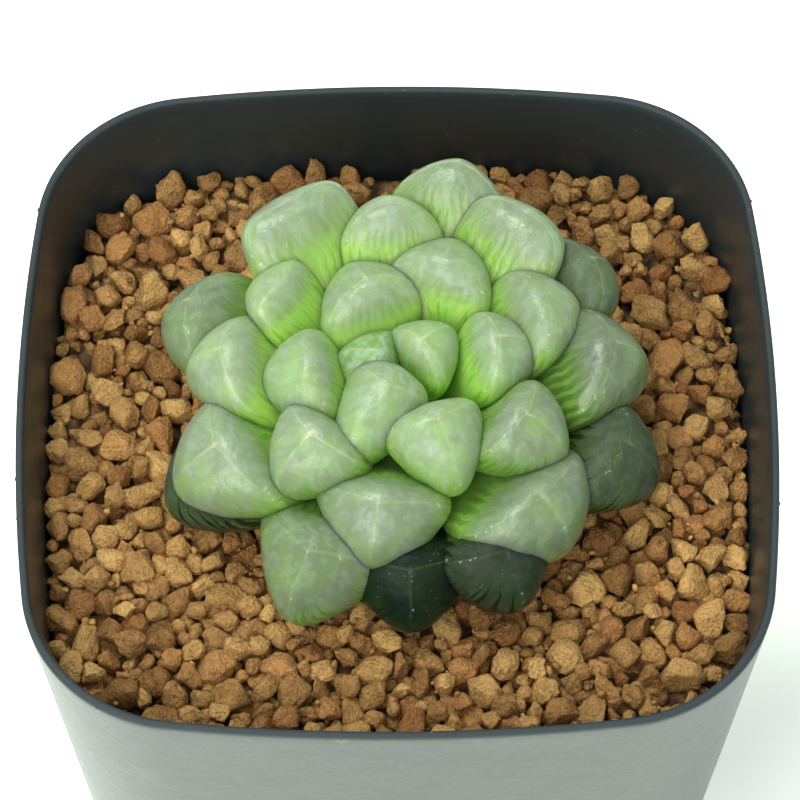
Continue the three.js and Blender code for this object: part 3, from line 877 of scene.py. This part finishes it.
class Leaf:
    """A fat leaf that bends up from the stem to a blunt dome. Its rise is 0 at the foot, 1 where
    the dome starts and 2 at the tip."""

    def __init__(self, age, azimuth, reach, crown, lean, width, thickness, bluntness, green):
        self.age = age
        self.bluntness = bluntness
        self.green = green
        heading = math.radians(azimuth)
        tilt = math.radians(lean)
        self.outwards = np.array([math.cos(heading), math.sin(heading), 0])
        self.sideways = np.array([-math.sin(heading), math.cos(heading), 0])
        foot = np.array(leaf_foot(age))
        tip = np.array([reach, crown])
        upright = np.array([math.sin(tilt), math.cos(tilt)])
        bend = tip - UPSWEEP * np.linalg.norm(tip - foot) * upright
        t = np.linspace(0, 1, SPINE_STEPS + 1)[:, None]
        self.spine = (1 - t) ** 2 * foot + 2 * (1 - t) * t * bend + t**2 * tip
        along = (1 - t) * (bend - foot) + t * (tip - bend)
        self.along = along / np.linalg.norm(along, axis=1)[:, None]
        steps = np.linalg.norm(np.diff(self.spine, axis=0), axis=1)
        self.lengths = np.concatenate([[0], np.cumsum(steps)])
        self.dome_length = DOME_SHARE * width
        self.stalk_length = self.lengths[-1] - self.dome_length
        smooth_corner = 1 + TRIANGLE + CORNERS * math.cos(6 * MARGIN_ANGLES[0] - math.pi)
        self.half_width = width / 2 / (smooth_corner * math.cos(MARGIN_ANGLES[0]))
        self.half_thickness = thickness / 2

    def at_length(self, length):
        """The middle line's place and direction, in the plane that it bends in."""
        centre = [np.interp(length, self.lengths, self.spine[:, i]) for i in range(2)]
        along = [np.interp(length, self.lengths, self.along[:, i]) for i in range(2)]
        return np.array(centre), np.array(along)

    def scales(self, rise):
        """Width and thickness over the leaf's full ones, the shift to its upper face and how
        far the section is rounded."""
        if rise <= 1:
            neck = NECK_RADIUS / self.half_width
            scale = neck + (1 - neck) * (1 - (1 - rise**STALK_START_POWER) ** STALK_END_POWER)
            return scale, scale, 0.0, 0.0
        flat = dome(rise - 1, DOME_THICKNESS_POWER)
        shift = self.half_thickness * DOME_LEAN_IN * (1 - flat)
        return dome(rise - 1, self.bluntness), flat, shift, TIP_ROUNDING * (rise - 1)

    def length_of(self, rise):
        """Distance along the middle line, from the foot."""
        if rise <= 1:
            return rise * self.stalk_length
        return self.stalk_length + (rise - 1) * self.dome_length

    def in_space(self, flat):
        """A place or direction in the plane that the leaf bends in, in three dimensions."""
        return self.outwards * flat[0] + np.array([0, 0, flat[1]])

    def ring(self, rise, angles, grow):
        """Points round the leaf, which is swollen by grow on every side."""
        centre, along = self.at_length(self.length_of(rise))
        wide, thick, shift, rounding = self.scales(rise)
        upper = self.in_space((-along[1], along[0]))
        middle = self.in_space(centre) + upper * shift + ROSETTE
        radius = section_radius(angles, rounding)
        x = radius * np.cos(angles) * wide * (self.half_width + grow)
        y = radius * np.sin(angles) * thick * (self.half_thickness + grow)
        return middle + x[:, None] * self.sideways + y[:, None] * upper

    def solid(self, name, grow):
        """The leaf's whole closed form, swollen by grow."""
        angles = MARGIN_ANGLES[0] + np.arange(LEAF_SIDES) * 2 * math.pi / LEAF_SIDES
        rises = [ring / STALK_RINGS for ring in range(STALK_RINGS + 1)]
        for ring in range(1, DOME_RINGS + 1):
            rises.append(1 + math.sin(ring / (DOME_RINGS + 1) * math.pi / 2))
        rings = [self.ring(rise, angles, grow) for rise in rises]
        foot = self.in_space(self.spine[0]) + ROSETTE
        along = self.along[-1]
        tip = self.in_space(self.spine[-1]) + self.in_space(along) * grow + ROSETTE
        tip = tip + self.in_space((-along[1], along[0])) * self.half_thickness * DOME_LEAN_IN
        return skinned(name, foot, rings, tip)

    def papillae(self, rng):
        """Centres and radii of tiny warts along the keel and the margins. Old leaves have more,
        and the middle place always holds one."""
        centres = []
        sizes = []
        aged = YOUNG_SPURS + (1 - YOUNG_SPURS) * self.age / len(LEAVES)
        share = rng.uniform(*SPUR_LUCK) * MOST_SPURS * aged
        for angle in (KEEL_ANGLE, *MARGIN_ANGLES):
            for number, rise in enumerate(np.linspace(SPUR_FROM, SPUR_TO, SPUR_STEPS)):
                if number == SPUR_STEPS // 2 or rng.random() < share:
                    at = np.array([angle + rng.uniform(-SPUR_STRAY, SPUR_STRAY)])
                    slipped = rise + rng.uniform(-SPUR_SLIP, SPUR_SLIP)
                    centres.append(self.ring(slipped, at, 0.0)[0])
                    sizes.append(SPUR_RADIUS * rng.uniform(*SPUR_SIZES))
        return np.array(centres), np.array(sizes)

    def locate(self, points):
        """Where points of the leaf lie in it: cosine and sine round its section with the rise,
        and distance from its middle."""
        local = points - ROSETTE
        across = local @ self.sideways
        flat = np.column_stack([local @ self.outwards, local[:, 2]])
        gaps = ((flat[:, None, :] - self.spine[None, ::SPINE_STRIDE, :]) ** 2).sum(2)
        nearest = gaps.argmin(1) * SPINE_STRIDE
        offset = flat - self.spine[nearest]
        along = self.along[nearest]
        length = self.lengths[nearest] + (offset * along).sum(1)
        upper = offset[:, 1] * along[:, 0] - offset[:, 0] * along[:, 1]
        rise = np.where(
            length <= self.stalk_length,
            length / self.stalk_length,
            1 + (length - self.stalk_length) / self.dome_length,
        ).clip(0, 2)
        scales = np.array([self.scales(float(at)) for at in rise])
        x = across / (self.half_width * scales[:, 0].clip(THINNEST))
        y = (upper - scales[:, 2]) / (self.half_thickness * scales[:, 1].clip(THINNEST))
        size = np.hypot(x, y).clip(TINY)
        radius = np.hypot(across, upper - scales[:, 2])
        return np.column_stack([x / size, y / size, rise]), radius


def note_leaf(piece, leaf, centres, sizes, rng):
    """Stores what the leaf's material needs: the place of each point in its leaf, whether it is
    on a papilla, and the leaf's darkness (its own colour and painted shade), its seed and the
    point's distance from its middle."""
    points = points_of(piece)
    place, radius = leaf.locate(points)
    note_points(piece, "leaf_place", place)
    far = np.linalg.norm(points[:, None] - centres[None], axis=2) / sizes
    note_points(piece, "leaf_spur", (far.min(1) < SPUR_REACH).astype(float))
    count = len(points)
    seed = rng.uniform(0, LEAF_SEEDS)
    traits = np.column_stack([np.full(count, leaf.green), np.full(count, seed), radius])
    note_points(piece, "leaf_traits", traits)


def build_leaves(materials):
    """All the leaves, each pressed hollow where a younger one lies against it."""
    leaves = [Leaf(age, *entry) for age, entry in enumerate(LEAVES)]
    swollen = [leaf.solid(f"swollen_{leaf.age}", LEAF_GAP) for leaf in leaves]
    boxes = [(points_of(piece).min(0), points_of(piece).max(0)) for piece in swollen]
    rng = np.random.default_rng(SEED)
    made = []
    for leaf in leaves:
        piece = leaf.solid(f"leaf_body_{leaf.age + 1:02d}", 0.0)
        low, high = boxes[leaf.age]
        meets = [
            swollen[age]
            for age in range(leaf.age)
            if (boxes[age][0] < high).all() and (boxes[age][1] > low).all()
        ]
        if meets:
            join_or_cut(piece, meets, "DIFFERENCE")
            keep_largest(piece)
        centres, sizes = leaf.papillae(rng)
        warts = balls(f"papillae_{leaf.age}", centres, sizes, ROUGH_BALL)
        join_or_cut(piece, [warts], "UNION")
        discard([warts])
        note_leaf(piece, leaf, centres, sizes, rng)
        slot = leaf_slot(leaf.age)
        dress(piece, materials[slot])
        install(piece, f"leaf_{leaf.age + 1:02d}")
        made.append(piece)
    discard(swollen)
    return made


# ---- Soil ------------------------------------------------------------------------------------


def granule(ball, radius, rng):
    """A broken, rubbed lump: a ball with flats worn on it, roughened, stretched and turned."""
    points = ball.copy()
    for _ in range(GRAIN_FLATS):
        facing = rng.normal(size=3)
        facing /= np.linalg.norm(facing)
        over = np.maximum(points @ facing - rng.uniform(*FLAT_DEPTHS), 0)
        points -= FLAT_WEAR * over[:, None] * facing
    for tightness, depth in GRAIN_WAVES:
        for _ in range(WAVE_COUNT):
            wave = rng.normal(size=3) * rng.uniform(*WAVE_TIGHTNESS) * tightness
            swell = np.sin(ball @ wave + rng.uniform(0, WAVE_PHASES))
            points *= 1 + rng.uniform(*WAVE_DEPTHS) * depth * swell[:, None]
    points *= np.array([GRAIN_LENGTH, rng.uniform(*GRAIN_WIDTHS), rng.uniform(*GRAIN_HEIGHTS)])
    turn = np.linalg.qr(rng.normal(size=(3, 3)))[0]
    turn *= np.sign(np.linalg.det(turn))
    return points @ turn.T * radius


def strew(rng):
    """Places and radii of granules thrown evenly over the pot, the large ones first."""
    least, most = GRAIN_RADII
    sizes = np.sort(least + (most - least) * rng.beta(*GRAIN_SPREAD, GRAIN_COUNT))[::-1]
    low = (-RIM_HALF, -RIM_HALF, SOIL_TOP - BED_DEPTH)
    high = (RIM_HALF, RIM_HALF, SOIL_TOP)
    places = []
    while len(places) < GRAIN_COUNT:
        x, y, z = rng.uniform(low, high)
        if math.hypot(x, y) + WALL + sizes[len(places)] < wall_reach(x, y, z):
            places.append((x, y, z))
    return np.array(places), sizes


def settle(places, sizes, leaf_tree):
    """Lets granules sink to the bed while they push each other, the wall and the leaves away."""
    bed = SOIL_TOP - BED_DEPTH
    for _ in range(SETTLE_ROUNDS):
        squares = (places**2).sum(1)
        gaps = squares[:, None] + squares[None] - 2 * places @ places.T
        touching = CLOSENESS * (sizes[:, None] + sizes[None])
        one, other = np.nonzero(np.triu(gaps < (NEIGHBOURS * touching) ** 2, 1))
        reach = touching[one, other]
        for _ in range(SETTLE_STEPS):
            places[:, 2] -= SINK_STEP
            between = places[one] - places[other]
            far = np.linalg.norm(between, axis=1).clip(TINY)
            push = 0.5 * between * (np.maximum(reach - far, 0) / far)[:, None]
            np.add.at(places, one, push)
            np.add.at(places, other, -push)
            places[:, 2] = places[:, 2].clip(bed, SOIL_TOP - TOP_TOUCH * sizes)
            away = np.hypot(places[:, 0], places[:, 1])
            most = wall_reach(*places.T) - WALL - WALL_TOUCH * sizes
            places[:, :2] *= np.minimum(1, most / away)[:, None]
        push_off_leaves(places, sizes, leaf_tree)
    return places


def sprinkle(places, sizes, rng):
    """Places and radii of crumbs that lie on granules, mostly low on their sides."""
    carriers = rng.integers(len(places), size=CRUMB_COUNT)
    crumb_sizes = rng.uniform(*CRUMB_RADII, size=CRUMB_COUNT)
    facing = rng.uniform(0, 2 * math.pi, CRUMB_COUNT)
    rise = rng.uniform(*CRUMB_RISE, CRUMB_COUNT)
    level = np.sqrt(1 - rise**2)
    ways = np.column_stack([level * np.cos(facing), level * np.sin(facing), rise])
    apart = CRUMB_SEAT[0] * sizes[carriers] + CRUMB_SEAT[1] * crumb_sizes
    crumbs = places[carriers] + ways * apart[:, None]
    inside = np.hypot(crumbs[:, 0], crumbs[:, 1]) < wall_reach(*crumbs.T) - WALL - crumb_sizes
    return crumbs[inside], crumb_sizes[inside]


def leaf_gap(place, leaf_tree):
    """Distance to the nearest leaf in millimetres, below 0 inside it, and the way out of it."""
    spot, facing, _, far = leaf_tree.find_nearest(Vector(place * MM))
    away = Vector(place * MM) - spot
    if away.dot(facing) < 0:
        return -far / MM, np.array(facing)
    return far / MM, np.array(away.normalized())


def push_off_leaves(places, sizes, leaf_tree):
    """Moves each granule that cuts into a leaf out of it."""
    for number, size in enumerate(sizes):
        gap, way_out = leaf_gap(places[number], leaf_tree)
        if gap < size:
            places[number] += (size - gap) * way_out


def heap(name, places, sizes, detail, material, rng):
    """Meshes of many granules, none of them too large to keep whole."""
    ball, ball_faces = unit_ball(detail)
    batch = MOST_FACES // len(ball_faces)
    for start in range(0, len(places), batch):
        points = []
        faces = []
        shades = []
        for place, size in zip(places[start : start + batch], sizes[start : start + batch]):
            faces.append(ball_faces + len(points) * len(ball))
            points.append(granule(ball, size, rng) + place)
            shades.append(np.full(len(ball), rng.beta(*SHADE_SPREAD)))
        label = f"{name}_{start // batch + 1}"
        triangles = np.concatenate(faces).tolist()
        piece = make_piece(label, np.concatenate(points), triangles, material)
        note_points(piece, "grain_shade", np.concatenate(shades))
        install(piece, "soil")


def joined_tree(pieces):
    """Finds the nearest point of any of these pieces."""
    points = []
    faces = []
    for piece in pieces:
        start = len(points)
        points.extend(vertex.co.copy() for vertex in piece.data.vertices)
        faces.extend([start + index for index in face.vertices] for face in piece.data.polygons)
    return BVHTree.FromPolygons(points, faces)


def build_granules(clay, leaf_pieces):
    rng = np.random.default_rng(SEED)
    tree = joined_tree(leaf_pieces)
    places, sizes = strew(rng)
    places = settle(places, sizes, tree)
    gaps = np.array([leaf_gap(place, tree)[0] for place in places])
    clear = gaps > LEAF_TOUCH * sizes
    seen = clear & (places[:, 2] > SOIL_TOP - TOP_LAYER - sizes)
    hidden = clear & ~seen
    large = seen & (sizes > FINE_FROM)
    small = seen & ~large
    heap("granules", places[large], sizes[large], FINE_BALL, clay, rng)
    heap("small_granules", places[small], sizes[small], PLAIN_BALL, clay, rng)
    heap("lower_granules", places[hidden], sizes[hidden], PLAIN_BALL, clay, rng)
    crumbs, crumb_sizes = sprinkle(places[seen], sizes[seen], rng)
    heap("crumbs", crumbs, crumb_sizes, ROUGH_BALL, clay, rng)


def build_bed(depths):
    """The soil below the loose granules, with a lumpy top."""
    top = SOIL_TOP - BED_DEPTH + BED_LIFT
    bottom = FLOOR_TOP + BED_FLOOR_GAP
    heights = np.linspace(bottom, top - BED_EDGE, BED_SIDE_RINGS)
    rings = [pot_ring(z, WALL + BED_GAP) for z in heights]
    for share in np.linspace(*BED_SHARES, BED_TOP_RINGS):
        ring = pot_ring(top, WALL + BED_GAP) * [share, share, 1]
        x, y, _ = ring.T
        lumps = np.sin(x * LUMP_TIGHTNESS[0] + LUMP_SWAY * np.sin(y))
        ring[:, 2] += BED_LUMPS * lumps * np.sin(y * LUMP_TIGHTNESS[1])
        rings.append(ring)
    bed = skinned("soil_bed", (0, 0, bottom), rings, (0, 0, top), depths)
    install(bed, "soil")


# ---- Stage -----------------------------------------------------------------------------------

CAMERA_LOOKS_AT = np.array([0.3, -0.4, 65.0])
CAMERA_DISTANCE = 422.4
CAMERA_ELEVATION = math.radians(58.88)
CAMERA_YAW = math.radians(-0.434)
LENS = 193
NEAREST_SEEN = 10

FLOOR_SIDE = 2400
FLOOR_WHITE = rgb(0.9, 0.92, 0.9)
FLOOR_GLOW = rgb(0.87, 1.0, 0.74)
# A painted shadow of the pot: round this spot beside it the floor's glow dims to this colour.
POT_SHADOW_GLOW = rgb(0.16, 0.20, 0.16)
POT_SHADOW_SPOT = (50, -12)
POT_SHADOW_EDGE = (10.0, 38.0)  # the floor brightens over these distances from it

SKY = rgb(0.93, 0.97, 1.0)
SKY_STRENGTH = 0.70
LAMPS_AIM_AT = (0, 0, 60)
LAMPS = (  # name, place, width, depth, watts and colour
    ("window", (-150, 120, 620), 240, 180, 1.95, (0.94, 0.98, 1.0)),
    ("room", (-180, -400, 450), 500, 400, 2.9, (1.0, 1.0, 0.97)),
)


def pale_floor(name):
    """A bright table top, with a soft shadow of the pot painted on it beside the pot."""
    paint = Finish(name)
    x, y, _ = paint.place().parts()
    away = ((x - POT_SHADOW_SPOT[0]) ** 2 + (y - POT_SHADOW_SPOT[1]) ** 2) ** 0.5
    glow = paint.blend(1 - away.between(*POT_SHADOW_EDGE), FLOOR_GLOW, POT_SHADOW_GLOW)
    return paint.wears(
        Base_Color=FLOOR_WHITE,
        Roughness=0.7,
        Emission_Color=glow,
        Emission_Strength=1.0,
    )


def aim(piece, place, target):
    """Puts a camera or a light at a place in millimetres, and turns it to a target."""
    piece.location = Vector(place) * MM
    piece.rotation_euler = (Vector(target) - Vector(place)).to_track_quat("-Z", "Y").to_euler()


def add_camera():
    camera = bpy.data.objects.new("camera", bpy.data.cameras.new("camera"))
    bpy.context.scene.collection.objects.link(camera)
    camera.data.lens = LENS
    camera.data.clip_start = NEAREST_SEEN * MM
    level = math.cos(CAMERA_ELEVATION)
    back = (level * math.sin(CAMERA_YAW), -level * math.cos(CAMERA_YAW), math.sin(CAMERA_ELEVATION))
    aim(camera, CAMERA_LOOKS_AT + CAMERA_DISTANCE * np.array(back), CAMERA_LOOKS_AT)
    bpy.context.scene.camera = camera


def add_lamp(name, place, width, depth, watts, colour):
    lamp = bpy.data.objects.new(name, bpy.data.lights.new(name, "AREA"))
    bpy.context.scene.collection.objects.link(lamp)
    lamp.data.shape = "RECTANGLE"
    lamp.data.size = width * MM
    lamp.data.size_y = depth * MM
    lamp.data.energy = watts
    lamp.data.color = colour
    aim(lamp, place, LAMPS_AIM_AT)


def add_stage():
    half = FLOOR_SIDE / 2
    corners = [(-half, -half, 0), (half, -half, 0), (half, half, 0), (-half, half, 0)]
    make_piece("floor", corners, [(0, 1, 2, 3)], pale_floor("pale_floor"))
    scene = bpy.context.scene
    scene.world = bpy.data.worlds.new("soft_sky")
    scene.world.use_nodes = True
    sky = scene.world.node_tree.nodes["Background"]
    sky.inputs["Color"].default_value = SKY
    sky.inputs["Strength"].default_value = SKY_STRENGTH
    scene.view_settings.view_transform = "Standard"
    for lamp in LAMPS:
        add_lamp(*lamp)


# ---- The whole -------------------------------------------------------------------------------

add_camera()
add_stage()
build_pot(pot_plastic("pot_plastic"))
fleshes = {slot: leaf_flesh(f"{slot}_flesh", shine) for slot, shine in LEAF_SHINES.items()}
leaf_pieces = build_leaves(fleshes)
build_granules(baked_clay("baked_clay"), leaf_pieces)
build_bed(shaded_soil_depths("shaded_soil_depths"))
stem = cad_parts["stem_and_roots"]
stem.data.materials.clear()
stem.data.materials.append(stem_flesh("stem_flesh"))
